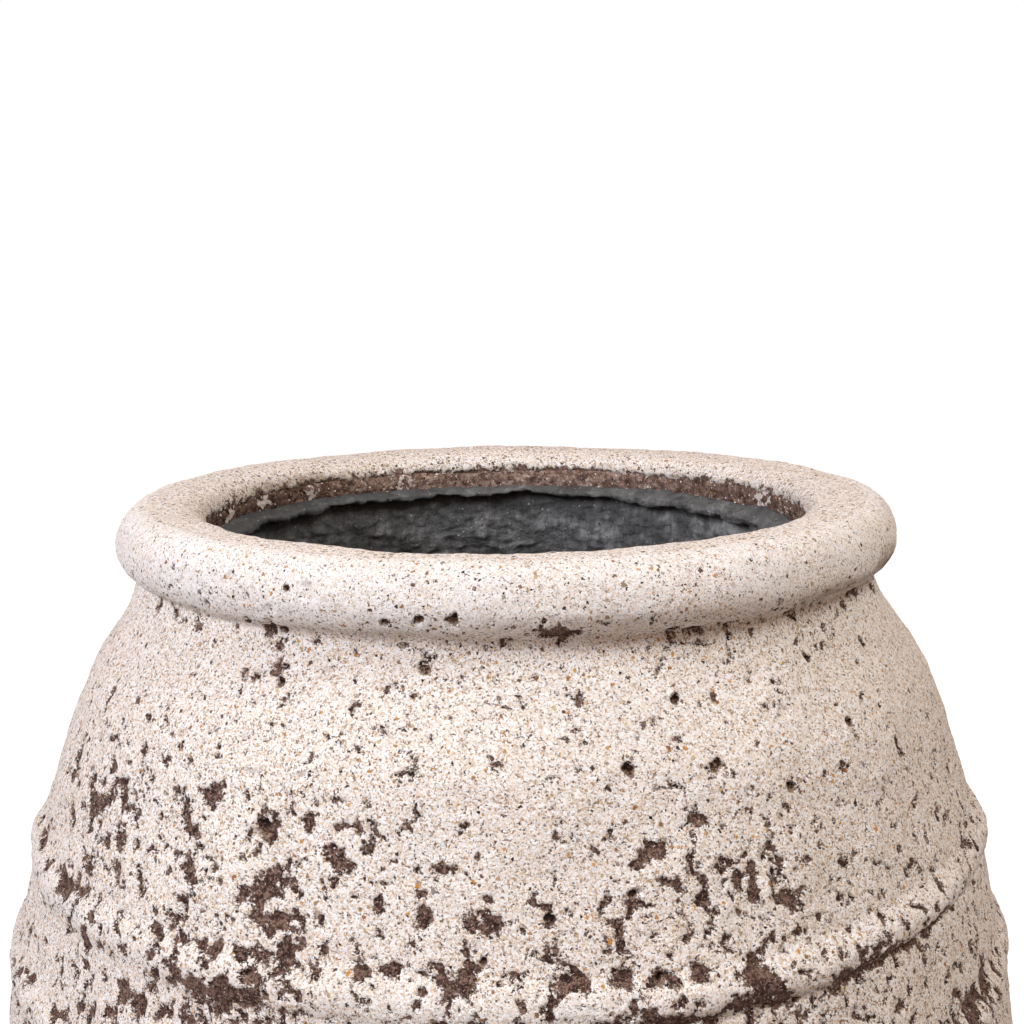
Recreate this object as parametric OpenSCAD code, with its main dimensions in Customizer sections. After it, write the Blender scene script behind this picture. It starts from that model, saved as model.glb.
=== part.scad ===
// Hand-built jar planter: clay sections luted together, a rolled rim, applied ribs,
// a stone coat outside, a painted lining inside and a rubber bung in the drain hole.
// Millimetres, +Z up, origin on the ground at the centre of the foot.

/* [Jar body] */
// Height from the ground to the crest of the rim
jar_h = 640; // [600:1:680]
// Radius at the widest line, over the coat
belly_r = 304; // [285:1:325]
// Height of the widest line, where a lower and an upper course meet
belly_z = 313; // [290:1:330]
// Radius where the body leaves the foot, over the coat
base_r = 192; // [175:1:210]
// Widening per mm of height where the body leaves the foot
base_flare = 0.62; // [0.4:0.01:0.8]
// Depth of the shoulder line below the crest, where the collar is set on the top course
shoulder_drop = 100; // [90:1:115]
// Radius at the shoulder line, over the coat
shoulder_r = 251; // [244:1:260]
// Narrowing per mm of height at the shoulder line
shoulder_slope = 0.38; // [0.3:0.01:0.5]

/* [Rim] */
// Depth of the groove under the rim, below the crest
groove_drop = 39; // [35:0.5:45]
// Radius in the groove, over the coat
groove_r = 219; // [212:0.5:224]
// Narrowing per mm of height in the groove
groove_slope = 0.02; // [0:0.01:0.2]
// Outermost radius of the roll, over the coat
rim_r = 230; // [226:0.5:240]
// Depth of the outermost line below the crest
rim_drop = 21.5; // [18:0.5:25]
// Radius of the crest
crest_r = 214; // [205:0.5:218]
// Radius of the mouth, over the coat
mouth_r = 179; // [165:0.5:190]
// Depth to which the coat runs down inside the mouth
mouth_coat_drop = 14.5; // [10:0.5:18]
// Depth at which the lining begins
lining_drop = 24.5; // [20:0.5:26]
// Depth of the clay lip's lower edge
lip_drop = 28; // [27:0.5:32]
// Depth at which the thick neck has thinned down to the plain wall
throat_drop = 190; // [160:1:210]

/* [Walls] */
// Number of clay courses below the widest line, and as many above it
half_courses = 2; // [1:1:3]
// Thickness of the clay wall
clay_t = 19; // [14:0.5:24]
// Thickness of the clay floor
slab_t = 26; // [20:0.5:34]
// Thickness of the coat
coat_t = 5; // [3:0.5:7]
// Thickness of the coat inside the mouth
mouth_coat_t = 3; // [2:0.5:5]
// Thickness of the lining
lining_t = 3; // [2:0.5:4]

/* [Ribs] */
// Number of ribs, the middle one on the widest line
rib_count = 5; // [1:1:5]
// Distance from one rib to the next
rib_pitch = 70; // [60:1:75]
// Width of a rib
rib_w = 22; // [16:1:28]
// Height of a rib above the coat
rib_proud = 5; // [3:0.5:9]
// How far a rib's crest lies below the middle of its width
rib_droop = 2; // [0:0.5:4]
// How far a hand-laid rib climbs towards its high side
rib_climb = 3; // [0:0.25:4]
// Turn from the high side of one rib to that of the next below, in degrees
rib_turn = 215; // [0:5:355]

/* [Foot and drain] */
// Height of the foot ring
foot_h = 18; // [14:1:24]
// Width of the foot ring
foot_w = 34; // [26:1:44]
// Chamfer on the foot ring's lower outer edge
foot_chamfer = 3; // [1:0.5:5]
// Number of drain notches across the foot ring
notch_count = 4; // [2:1:8]
// Width of a drain notch
notch_w = 28; // [15:1:36]
// Height of a drain notch
notch_h = 8; // [5:0.5:11]
// Radius of the drain hole
drain_r = 20; // [14:0.5:26]

/* [Bung] */
// Clearance between the bung and what it sits in
bung_gap = 0.3; // [0.2:0.05:0.6]
// Length of the stem in the drain hole
stem_l = 22; // [15:0.5:26]
// Narrowing of the stem's radius over its length
stem_taper = 2; // [0.5:0.5:4]
// Overhang of the head round the stem
head_overhang = 9; // [5:0.5:14]
// Thickness of the head
head_h = 7; // [4:0.5:10]
// Radius of the grip's waist
waist_r = 7; // [5:0.5:9]
// Height of the grip's waist
waist_h = 8; // [5:0.5:12]
// Radius of the grip's knob
knob_r = 12; // [10:0.5:15]
// Height of the grip's knob
knob_h = 8; // [6:0.5:12]
// Rounding of the bung's edges
bung_round = 2; // [1:0.25:2.5]

/* [Hidden] */
$fn = 96;

// Heights that several pieces share
slab_top = foot_h + slab_t;
floor_z = slab_top + lining_t;
shoulder_z = jar_h - shoulder_drop;
groove_z = jar_h - groove_drop;
throat_z = jar_h - throat_drop;
lip_z = jar_h - lip_drop;
lining_z = jar_h - lining_drop;
mouth_coat_z = jar_h - mouth_coat_drop;

// Heights at which the courses meet, from the floor slab to the shoulder
course_z = concat(
    [for (i = [0 : half_courses - 1]) slab_top + (belly_z - slab_top) * i / half_courses],
    [for (i = [0 : half_courses]) belly_z + (shoulder_z - belly_z) * i / half_courses]
);

// Radii that several pieces share
wall_t = coat_t + clay_t;
lip_r = mouth_r + mouth_coat_t;
foot_r = base_r - coat_t;

// Points along each span of the body, and along each curve of the rim and the throat
span_steps = 14;
curve_steps = 9;
// Share of a quarter curve's length that its handles take
round_handle = 0.55;
// Share of the rim's inward slope that runs nearly level from the crest
level_handle = 0.62;
// Shares of the roll's underside that run straight down from the brow, and out from the groove
under_handle = 0.4;
crease_handle = 0.2;
// How sharply the coat turns down at the mouth's edge, as a share of its drop
edge_handle = 0.1;
// Share of the neck's inside that runs straight down from the lip, and straight up from the plain wall
throat_handle = 0.5;
// Points along each flank of a rib, and how sharply its long upper and its short lower flank fall
flank_steps = 4;
upper_fall = 1.6;
lower_fall = 0.8;
// Depth to which a rib is built into the coat's face before that face trims it
rib_sink = 0.6;
// Cut taken past a face so that it goes right through
past = 1;

// Radius at height z on a smooth span between two heights with given radii and slopes
function span_r(z, z0, r0, s0, z1, r1, s1) =
    let (l = z1 - z0, t = (z - z0) / l, t2 = t * t, t3 = t2 * t)
    r0 * (2 * t3 - 3 * t2 + 1) + l * s0 * (t3 - 2 * t2 + t)
    + r1 * (3 * t2 - 2 * t3) + l * s1 * (t3 - t2);

// Stations [z, r] of one span, without its last point
function span(z0, r0, s0, z1, r1, s1) = [
    for (i = [0 : span_steps - 1])
        let (z = z0 + (z1 - z0) * i / span_steps)
        [z, span_r(z, z0, r0, s0, z1, r1, s1)]
];

// Point at t on a cubic curve with two handles
function bezier(a, b, c, d, t) =
    pow(1 - t, 3) * a + 3 * t * pow(1 - t, 2) * b + 3 * t * t * (1 - t) * c + pow(t, 3) * d;

// Points of a cubic curve, without its last point
function curve(a, b, c, d) = [
    for (i = [0 : curve_steps - 1]) bezier(a, b, c, d, i / curve_steps)
];

// A list from its last item to its first
function reversed(list) = [for (i = [len(list) - 1 : -1 : 0]) list[i]];

// Outside of the coat from the foot to the groove, as stations [z, r]
body_line = concat(
    span(foot_h, base_r, base_flare, belly_z, belly_r, 0),
    span(belly_z, belly_r, 0, shoulder_z, shoulder_r, -shoulder_slope),
    span(shoulder_z, shoulder_r, -shoulder_slope, groove_z, groove_r, -groove_slope),
    [[groove_z, groove_r]]
);
function body_r(z) = lookup(z, body_line);

// Inside of the neck from the plain wall in to the lip, taken a distance into the hollow
function throat_line(depth) =
    let (
        foot = [throat_z, body_r(throat_z) - wall_t - depth],
        lip = [lip_z - depth, lip_r - depth],
        run = (lip_z - throat_z) * throat_handle,
        slope = (body_r(throat_z) - body_r(throat_z - run)) / run
    )
    concat(curve(foot, foot + [1, slope] * run, lip - [run, 0], lip), [lip]);

// Inside of the clay from the floor to the lip, taken a distance into the hollow
function hollow_line(depth) = concat(
    [[slab_top, body_r(slab_top) - wall_t - depth]],
    [for (s = body_line) if (s[0] > slab_top && s[0] < throat_z) [s[0], s[1] - wall_t - depth]],
    throat_line(depth)
);
clay_hollow = hollow_line(0);
lining_hollow = hollow_line(lining_t);

// Points [r, z] of a line of stations between two heights, moved inwards by an inset
function side(line, z0, z1, inset = 0) = concat(
    [[lookup(z0, line) - inset, z0]],
    [for (s = line) if (s[0] > z0 && s[0] < z1) [s[1] - inset, s[0]]],
    [[lookup(z1, line) - inset, z1]]
);

// Outline of the rim from the groove over the crest into the mouth, under a given cover
function rim_line(cover, mouth_cover) =
    let (
        groove = [groove_r - cover, groove_z],
        brow = [rim_r - cover, jar_h - rim_drop],
        crest = [crest_r, jar_h - cover],
        mouth = [mouth_r + mouth_cover, mouth_coat_z],
        under = [0, brow[1] - groove[1]] * under_handle,
        crease = [1, 1] * (brow[1] - groove[1]) * crease_handle,
        shed = [brow[0] - crest[0], 0] * round_handle,
        climb = [0, crest[1] - brow[1]] * round_handle,
        level = [crest[0] - mouth[0], 0] * level_handle,
        edge = [mouth[0], crest[1] - edge_handle * (crest[1] - mouth[1])]
    )
    concat(
        curve(groove, groove + crease, brow - under, brow),
        curve(brow, brow + climb, crest + shed, crest),
        curve(crest, crest - level, edge, mouth),
        [mouth]
    );

// Ring between an outer and an inner line, both running upwards
module ring(outer, inner) {
    rotate_extrude() polygon(concat(outer, reversed(inner)));
}

module clay() {
    color("#65524a") children();
}

module stone_coat() {
    color("#e6dad0") children();
}

module grey_lining() {
    color("#505153") children();
}

// Ring that the jar stands on, cut across by drain notches
module foot_ring() {
    clay() difference() {
        rotate_extrude() polygon([
            [foot_r - foot_w, 0],
            [foot_r - foot_chamfer, 0],
            [foot_r, foot_chamfer],
            [foot_r, foot_h],
            [foot_r - foot_w, foot_h]
        ]);
        for (i = [0 : notch_count - 1])
            rotate(i * 360 / notch_count)
                translate([0, -notch_w / 2, -past])
                    cube([base_r + past, notch_w, notch_h + past]);
    }
}

// Floor slab with the drain hole
module base_slab() {
    clay() ring(
        side(body_line, foot_h, slab_top, coat_t),
        [[drain_r, foot_h], [drain_r, slab_top]]
    );
}

// One course of the wall, counted from the floor slab
module wall_course(i) {
    low = course_z[i - 1];
    high = course_z[i];
    clay() ring(side(body_line, low, high, coat_t), side(clay_hollow, low, high));
}

// Collar from the shoulder to the groove
module neck_collar() {
    clay() ring(
        side(body_line, shoulder_z, groove_z, coat_t),
        side(clay_hollow, shoulder_z, groove_z)
    );
}

// Thick roll round the mouth
module rim_roll() {
    clay() ring(rim_line(coat_t, mouth_coat_t), side(clay_hollow, groove_z, lip_z));
}

// Coat over the slab and the courses below the widest line
module lower_coat() {
    stone_coat() ring(side(body_line, foot_h, belly_z), side(body_line, foot_h, belly_z, coat_t));
}

// Coat over the courses above the widest line and the collar
module upper_coat() {
    stone_coat() ring(side(body_line, belly_z, groove_z), side(body_line, belly_z, groove_z, coat_t));
}

// Coat over the roll, down into the mouth
module rim_coat() {
    stone_coat() ring(rim_line(0, 0), rim_line(coat_t, mouth_coat_t));
}

// One flank of a rib's back as points [height from the crest, share of the rise], away from the crest
function flank(width, fall) = [
    for (k = [1 : flank_steps])
        let (t = k / flank_steps)
        [width * t, pow(1 - t * t, fall)]
];

// Back of a rib from its lower to its upper edge
rib_back = concat(
    reversed(flank(rib_droop - rib_w / 2, lower_fall)),
    [[0, 1]],
    flank(rib_w / 2 + rib_droop, upper_fall)
);

// Body inside the coat's face, a rib's width above and below a height
module body_core(z) {
    rotate_extrude() polygon(concat(
        [[0, z - rib_w]],
        side(body_line, z - rib_w, z + rib_w),
        [[0, z + rib_w]]
    ));
}

// Applied band, counted from the top: laid a little askew, slid over to follow the wall, seated on the coat
module rib(i) {
    rib_z = belly_z + ((rib_count + 1) / 2 - i) * rib_pitch;
    slope = (body_r(rib_z + rib_w / 2) - body_r(rib_z - rib_w / 2)) / rib_w;
    back = [
        for (p = rib_back)
            [body_r(rib_z + p[0]) + (rib_proud + rib_sink) * p[1] - rib_sink, p[0]]
    ];
    seat = [for (p = back) [body_r(rib_z + p[1]) - coat_t, p[1]]];
    stone_coat() difference() {
        rotate((i - 1) * rib_turn)
            translate([slope * rib_climb, 0, rib_z])
                rotate([0, -atan(rib_climb / body_r(rib_z)), 0])
                    ring(back, seat);
        body_core(rib_z);
    }
}

// Lining on the floor, round the drain hole
module floor_lining() {
    grey_lining() ring(
        side(clay_hollow, slab_top, floor_z),
        [[drain_r, slab_top], [drain_r, floor_z]]
    );
}

// Lining on the wall, up over the lip
module wall_lining() {
    grey_lining() ring(
        concat(side(clay_hollow, floor_z, lip_z), [[lip_r, lining_z]]),
        concat(side(lining_hollow, floor_z, lip_z - lining_t), [[lip_r - lining_t, lining_z]])
    );
}

// Quarter round of the bung's edge rounding about a centre, from one angle to the next
function round_edge(r, z, from) = [
    for (k = [0 : curve_steps])
        let (a = from + 90 * k / curve_steps)
        [r + bung_round * cos(a), z + bung_round * sin(a)]
];

// Rubber bung: stem in the drain hole, head on the lining, grip on top
module drain_plug() {
    seat_z = floor_z + bung_gap;
    stem_r = drain_r - bung_gap;
    head_r = stem_r + head_overhang;
    head_top = seat_z + head_h;
    knob_z = head_top + waist_h;
    color("#2b2b2c") rotate_extrude() polygon(concat(
        [[0, seat_z - stem_l], [stem_r - stem_taper, seat_z - stem_l], [stem_r, seat_z]],
        [[head_r, seat_z]],
        round_edge(head_r - bung_round, head_top - bung_round, 0),
        [[waist_r, head_top], [waist_r, knob_z]],
        round_edge(knob_r - bung_round, knob_z + bung_round, -90),
        round_edge(knob_r - bung_round, knob_z + knob_h - bung_round, 0),
        [[0, knob_z + knob_h]]
    ));
}

foot_ring();
base_slab();
neck_collar();
rim_roll();
lower_coat();
upper_coat();
rim_coat();
floor_lining();
wall_lining();
drain_plug();
for (i = [1 : 2 * half_courses])
    wall_course(i);
for (i = [1 : rib_count])
    rib(i);
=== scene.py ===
"""Looks of the jar planter: a sand-and-lime coat worn through to brown clay, the bare clay band
in its mouth, a brushed tar-paint lining, a rubber bung, and a plain white studio.
The pieces are built in millimetres and put into the frame in metres."""
import itertools
import math

import bmesh
import bpy
import numpy as np
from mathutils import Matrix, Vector


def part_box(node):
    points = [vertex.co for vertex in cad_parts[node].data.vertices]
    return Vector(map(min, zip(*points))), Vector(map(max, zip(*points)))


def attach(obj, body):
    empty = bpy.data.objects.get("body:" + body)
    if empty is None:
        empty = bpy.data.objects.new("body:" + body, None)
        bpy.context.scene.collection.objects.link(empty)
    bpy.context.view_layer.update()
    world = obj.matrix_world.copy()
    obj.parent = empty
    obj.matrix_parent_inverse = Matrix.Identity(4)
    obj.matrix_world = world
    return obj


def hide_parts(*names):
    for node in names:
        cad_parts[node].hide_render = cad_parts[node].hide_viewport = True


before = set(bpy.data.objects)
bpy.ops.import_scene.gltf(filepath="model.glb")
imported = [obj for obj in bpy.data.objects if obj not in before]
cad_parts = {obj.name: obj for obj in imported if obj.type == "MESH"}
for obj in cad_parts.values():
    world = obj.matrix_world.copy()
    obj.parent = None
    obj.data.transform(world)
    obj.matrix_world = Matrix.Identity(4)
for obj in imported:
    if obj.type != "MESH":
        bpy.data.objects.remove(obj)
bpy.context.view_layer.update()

MM = 0.001


# Sizes that the frame gives, in mm

def corners_of(node):
    """Corners of a solid of the frame."""
    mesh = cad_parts[node].data
    flat = np.empty(len(mesh.vertices) * 3, np.float32)
    mesh.vertices.foreach_get("co", flat)
    return flat.reshape(-1, 3) / MM


def turned_points(*nodes):
    """Radius and height of every corner of some turned solids of the frame."""
    xyz = np.concatenate([corners_of(node) for node in nodes])
    return np.hypot(xyz[:, 0], xyz[:, 1]), xyz[:, 2]


def node_box(node):
    """Lowest and highest corner of a solid of the frame."""
    low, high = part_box(node)
    return np.array(low) / MM, np.array(high) / MM


def outside_stations(*nodes):
    """Heights at which turned solids have corners, and their largest radius at each."""
    r, z = turned_points(*nodes)
    heights = np.unique(z.round(1))
    return heights, np.array([r[np.abs(z - h) < 0.1].max() for h in heights])


RIM_R, RIM_Z = turned_points("rim_coat")
CREST_Z, CREST_R = RIM_Z.max(), RIM_R[RIM_Z.argmax()]
BROW_R, BROW_Z = RIM_R.max(), RIM_Z[RIM_R.argmax()]
MOUTH_R = RIM_R.min()
MOUTH_EDGE_Z = RIM_Z[RIM_R < MOUTH_R + 0.1].min()
BODY_Z, BODY_R = outside_stations("lower_coat", "upper_coat")
BODY_SLOPE = np.gradient(BODY_R, BODY_Z)
FOOT_Z, GROOVE_Z, GROOVE_R = BODY_Z[0], BODY_Z[-1], BODY_R[-1]
SHOULDER_Z = node_box("neck_collar")[0][2]
LIP_R = turned_points("rim_roll")[0].min()
LINING_TOP_Z = node_box("wall_lining")[1][2]
LIP_Z = LINING_TOP_Z - 3.5
SLAB_TOP_Z, FLOOR_Z = (corner[2] for corner in node_box("floor_lining"))
DRAIN_R = turned_points("floor_lining")[0].min()
RIBS = sorted(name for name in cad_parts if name.startswith("rib_"))

# Thicknesses of the wall's layers, and the height over which the thick neck thins down to the plain wall
COAT_T = 5
MOUTH_COAT_T = LIP_R - MOUTH_R
CLAY_T = 19
LINING_T = FLOOR_Z - SLAB_TOP_Z
THROAT_H = 162

# The rim as the maker left it: a little low on the left, and a little to the left of the body
RIM_TILT = 0.012
RIM_SHIFT = -2.2

# Columns round the coat, the spacing of its rows, and the height below which they lie wider apart
AROUND = 1300
ROW_FINE, ROW_WIDE = 1.0, 2.1
FINE_TO_Z = 430


# Outlines

def wall_r(z):
    """Radius of the coat's outside at a height, smooth between the frame's stations."""
    i = np.clip(np.searchsorted(BODY_Z, z) - 1, 0, len(BODY_Z) - 2)
    span = BODY_Z[i + 1] - BODY_Z[i]
    t = np.clip((z - BODY_Z[i]) / span, 0, 1)
    ends = BODY_R[i] * (1 + 2 * t) * (1 - t) ** 2 + BODY_R[i + 1] * t * t * (3 - 2 * t)
    return ends + span * t * (1 - t) * (BODY_SLOPE[i] * (1 - t) - BODY_SLOPE[i + 1] * t)


def bezier(a, b, c, d, count=60):
    """Points (r, z) of a curve with two handles, without its last point."""
    t = np.linspace(0, 1, count, endpoint=False)[:, None]
    a, b, c, d = (np.array(p, float) for p in (a, b, c, d))
    return (1 - t) ** 3 * a + 3 * t * (1 - t) ** 2 * b + 3 * t * t * (1 - t) * c + t ** 3 * d


def rim_outline(cover, mouth_cover):
    """Outline of the rim under a given cover, from the mouth's edge over the crest to the groove."""
    mouth = (MOUTH_R + mouth_cover, MOUTH_EDGE_Z)
    crest = (CREST_R, CREST_Z - cover)
    brow = (BROW_R - cover, BROW_Z)
    groove = (GROOVE_R - cover, GROOVE_Z)
    # Handles of the curves, as shares of the way from one of these points to the next
    edge = (mouth[0], crest[1] - 0.1 * (crest[1] - mouth[1]))
    level = (crest[0] - 0.62 * (crest[0] - mouth[0]), crest[1])
    shed = (crest[0] + 0.55 * (brow[0] - crest[0]), crest[1])
    climb = (brow[0], brow[1] + 0.55 * (crest[1] - brow[1]))
    fall = brow[1] - groove[1]
    under = (brow[0], brow[1] - 0.4 * fall)
    crease = (groove[0] + 0.2 * fall, groove[1] + 0.2 * fall)
    return np.concatenate([
        bezier(mouth, edge, level, crest),
        bezier(crest, shed, climb, brow),
        bezier(brow, under, crease, groove),
        [groove],
    ])


def wall_outline(top, bottom, inset):
    """Outline of the body between two heights, moved inwards, from the top down."""
    z = np.linspace(top, bottom, max(2, int(abs(top - bottom) / 0.5)))
    return np.stack([wall_r(z) - inset, z], axis=1)


def hollow_outline(depth):
    """Inside of the clay from the lip down to the floor, taken a depth into the hollow."""
    inset = COAT_T + CLAY_T + depth
    throat_z = LIP_Z - THROAT_H
    run = THROAT_H / 2
    slope = (wall_r(throat_z) - wall_r(throat_z - run)) / run
    throat = (wall_r(throat_z) - inset, throat_z)
    rise = (throat[0] + slope * run, throat_z + run)
    lip = (LIP_R - depth, LIP_Z - depth)
    drop = (lip[0], lip[1] - run)
    neck = bezier(lip, drop, rise, throat, count=240)
    return np.concatenate([neck, wall_outline(throat_z, FLOOR_Z, inset)])


def even(outline, step):
    """The outline again, with points an even step apart."""
    run = np.concatenate([[0], np.cumsum(np.hypot(*np.diff(outline, axis=0).T))])
    at = np.linspace(0, run[-1], int(round(run[-1] / step)) + 1)
    return np.stack([np.interp(at, run, outline[:, 0]), np.interp(at, run, outline[:, 1])], axis=1)


def outline_normals(outline):
    """Normals (r, z) on the left of an outline's run."""
    run = np.gradient(outline, axis=0)
    run /= np.linalg.norm(run, axis=1, keepdims=True)
    return np.stack([-run[:, 1], run[:, 0]], axis=1)


# Angles are counted from the front, which faces -Y, towards +X

def spun(outline, angles):
    """Points of an outline (r, z) turned round the axis: rows down, columns round."""
    r, z = outline[:, 0, None], outline[:, 1, None]
    return np.stack([r * np.sin(angles), -r * np.cos(angles), z + 0 * angles], axis=-1).astype(np.float32)


def round_angles(count):
    return np.arange(count, dtype=np.float32) * np.float32(2 * math.pi / count)


def angle_gap(angles, degrees):
    """Difference from each angle to one in degrees, the short way round."""
    return (angles - math.radians(degrees) + math.pi) % (2 * math.pi) - math.pi


# Noise and steps

DIRECTIONS = np.array(
    [d for d in itertools.product((-1, 0, 1), repeat=3) if sum(map(abs, d)) == 2], np.float32
)


def smoothstep(low, high, value):
    t = np.clip((value - low) / (high - low), 0, 1)
    return t * t * (3 - 2 * t)


def lumps(points, size, seed):
    """Smooth noise of about -1 to 1 at points, with lumps of about the given size."""
    q = points / np.float32(size)
    cell = np.floor(q)
    f = (q - cell).astype(np.float32)
    cell = cell.astype(np.int32).astype(np.uint32)
    ease = f * f * f * (f * (f * 6 - 15) + 10)
    total = np.zeros(points.shape[:-1], np.float32)
    for corner in itertools.product((0, 1), repeat=3):
        key = np.full(points.shape[:-1], seed * 7919 + 17, np.uint32)
        weight = np.ones_like(total)
        for axis, step in enumerate(corner):
            key = (key ^ (cell[..., axis] + np.uint32(step))) * np.uint32(2654435761)
            key ^= key >> np.uint32(15)
            weight *= ease[..., axis] if step else 1 - ease[..., axis]
        lean = DIRECTIONS[(key >> np.uint32(7)) % np.uint32(len(DIRECTIONS))]
        total += weight * (lean * (f - np.array(corner, np.float32))).sum(-1)
    return total


def heaped(points, layers):
    """Lumps of several sizes on top of each other: height in mm, size in mm and seed of each."""
    return sum(height * lumps(points, size, seed) for height, size, seed in layers)


def crumbs(points, size, seed, layers=4, keep=0.6):
    """Lumps with ever finer ones on them."""
    return sum(keep ** k * lumps(points, size / 2 ** k, seed + k) for k in range(layers))


# Meshes

def mesh_object(name, points, faces, normals=None, **masks):
    """A smooth mesh object from points in mm, quads, and values kept at its points."""
    mesh = bpy.data.meshes.new(name)
    mesh.vertices.add(len(points))
    mesh.vertices.foreach_set("co", (points * MM).astype(np.float32).ravel())
    mesh.loops.add(faces.size)
    mesh.loops.foreach_set("vertex_index", faces.astype(np.int32).ravel())
    mesh.polygons.add(len(faces))
    mesh.polygons.foreach_set("loop_start", np.arange(0, faces.size, 4, dtype=np.int32))
    mesh.update(calc_edges=True)
    mesh.shade_smooth()
    for mask, values in masks.items():
        kept = mesh.attributes.new(mask, "FLOAT", "POINT")
        kept.data.foreach_set("value", values.astype(np.float32).ravel())
    if normals is not None:
        mesh.normals_split_custom_set_from_vertices(normals.reshape(-1, 3).tolist())
    made = bpy.data.objects.new(name, mesh)
    bpy.context.scene.collection.objects.link(made)
    return made


def ring_faces(rows, columns):
    """Quads of a grid that closes on itself both round and across."""
    here = np.arange(rows * columns).reshape(rows, columns)
    below = np.roll(here, -1, axis=0)
    faces = np.stack([here, below, np.roll(below, -1, axis=1), np.roll(here, -1, axis=1)], axis=-1)
    return faces.reshape(-1, 4)


def ring_piece(name, grid, normals=None, **masks):
    """A closed ring from rows of points that run once round its section, its outside on their left."""
    return mesh_object(name, grid.reshape(-1, 3), ring_faces(*grid.shape[:2]), normals, **masks)


def grid_normals(grid):
    """Normals of rows that run down and columns that run round."""
    down = np.gradient(grid, axis=0)
    along = np.roll(grid, -1, axis=1) - np.roll(grid, 1, axis=1)
    normals = np.cross(down, along)
    return normals / np.linalg.norm(normals, axis=-1, keepdims=True)


def out_of_true(grid):
    """The rim's tilt and shift, which fade out below the shoulder."""
    share = smoothstep(SHOULDER_Z + 15, GROOVE_Z + 12, grid[..., 2])
    moved = grid.copy()
    moved[..., 2] += share * RIM_TILT * grid[..., 0]
    moved[..., 0] += share * RIM_SHIFT
    return moved


def settle(piece, body, slot, material, *nodes):
    """Gives a piece its finish and its body, and hides the nodes of the frame that it stands for."""
    piece.data.materials.append(material)
    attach(piece, body)
    if nodes:
        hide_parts(*nodes)


# The coat: where it is worn, pitted and ribbed

# Share of the coat worn through to the clay, by height
WORN_BY_HEIGHT = (
    (FOOT_Z, 0.3), (70, 0.1), (200, 0.1), (330, 0.11), (430, 0.11), (462, 0.12), (505, 0.105),
    (528, 0.05), (550, 0.018), (588, 0.015), (598, 0.05), (606, 0.03), (616, 0.004), (CREST_Z, 0.001),
)

# How much more or less of it is worn round the jar: angle in degrees and share
WORN_BY_ANGLE = (
    (-180, 1), (-85, 1), (-62, 1.2), (-20, 1.15), (-8, 0.9), (10, 1), (21, 1.4), (32, 0.75), (75, 0.65),
    (100, 1),
)

# Larger worn patches on the front: angle in degrees, height, half width, half height and how bare
WORN_PATCHES = (
    (24, 450, 11, 10, 1.2), (60, 402, 8, 14, 1.1), (54, 392, 15, 12, 1.2), (67, 478, 3, 12, 0.8),
    (-26, 514, 6, 7, 0.8), (-23, 478, 9, 5, 1), (-21, 472, 4, 8, 1), (-25, 493, 10, 9, 0.7),
    (-33, 521, 4, 8, 0.7), (-27, 526, 4, 5, 0.7), (-34, 503, 4, 9, 0.7), (-36, 491, 8, 5, 0.8),
    (-34, 486, 4, 8, 0.6), (-55, 500, 6, 9, 0.8), (-49, 514, 4, 7, 0.8), (-56, 454, 8, 10, 0.8),
    (-52, 473, 5, 9, 0.7), (-49, 442, 6, 7, 0.7), (-34, 472, 6, 5, 0.6), (-23, 465, 9, 4, 0.7),
    (-26, 446, 14, 4, 0.9), (-18, 515, 5, 6, 0.7), (-9, 497, 5, 6, 0.8), (-8, 489, 6, 5, 0.7),
    (-12, 464, 14, 4, 0.8), (-5, 461, 10, 6, 0.9), (-2, 484, 6, 6, 0.8), (4, 488, 4, 7, 0.8),
    (4, 474, 4, 5, 0.8), (5, 461, 10, 4, 0.9), (10, 461, 8, 4, 0.9), (15, 513, 6, 6, 0.8),
    (16, 501, 4, 5, 0.7), (18, 493, 7, 8, 0.8), (20, 524, 7, 5, 0.9), (23, 505, 8, 6, 0.7),
    (25, 495, 3, 9, 1), (14, 443, 10, 4, 0.9), (35, 443, 10, 3, 0.9), (41, 447, 9, 3, 0.9),
    (50, 447, 7, 3, 0.9), (8, 575, 4, 4, 0.8), (52, 531, 3, 6, 0.8), (6, 606, 12, 5, 1.1),
    (23, 602, 13, 2, 0.9), (39, 603, 9, 3, 0.7), (57, 602, 8, 4, 0.9), (47, 605, 5, 3, 0.8),
    (-31, 603, 9, 4, 0.9), (-45, 597, 7, 5, 0.6), (-16, 509, 4, 5, 0.7), (-21, 520, 3, 4, 0.8),
    (-30, 586, 5, 6, 0.6), (-60, 548, 3, 8, 0.7), (-64, 514, 4, 9, 0.8), (-39, 426, 9, 6, 0.8),
    (-36, 453, 8, 8, 0.7), (12, 491, 4, 5, 0.7),
)

# Round pits left by burnt-out bits: angle in degrees, height and radius, then how deep they go
PITS = (
    (-10, 590, 2.8), (-27, 626, 1.7), (-10, 614, 2.6), (-6, 615, 3), (23, 546, 3.6), (13, 548, 2.8),
    (44, 551, 2.6), (32, 531, 2.6), (-26, 517, 4.4), (14, 460, 3), (4, 487, 2.8), (-14, 612, 2.2),
    (-40, 612, 2.4), (-29, 578, 2.6), (20, 574, 2.2), (42, 580, 2.6), (48, 590, 2.4), (12, 496, 2.2),
)
STRAY_PITS, STRAY_PIT_R = 110, (1.4, 2.5)
PIT_DEPTH = 3.6

# Shallow dents that keep their cream coat, in the same way
DENTS = (
    (-24, 625, 4.2), (-36, 627, 3.4), (-45, 620, 3), (-52, 606, 2.8), (-46, 567, 3.4), (-38, 566, 3),
    (-55, 556, 4), (-31, 552, 4), (20, 573, 3), (34, 562, 3.4), (-4, 560, 5), (3, 640, 2.6),
    (-17, 636, 2.4),
)
STRAY_DENTS, STRAY_DENT_R = 170, (1.8, 3.6)
DENT_DEPTH = 1.8

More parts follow.
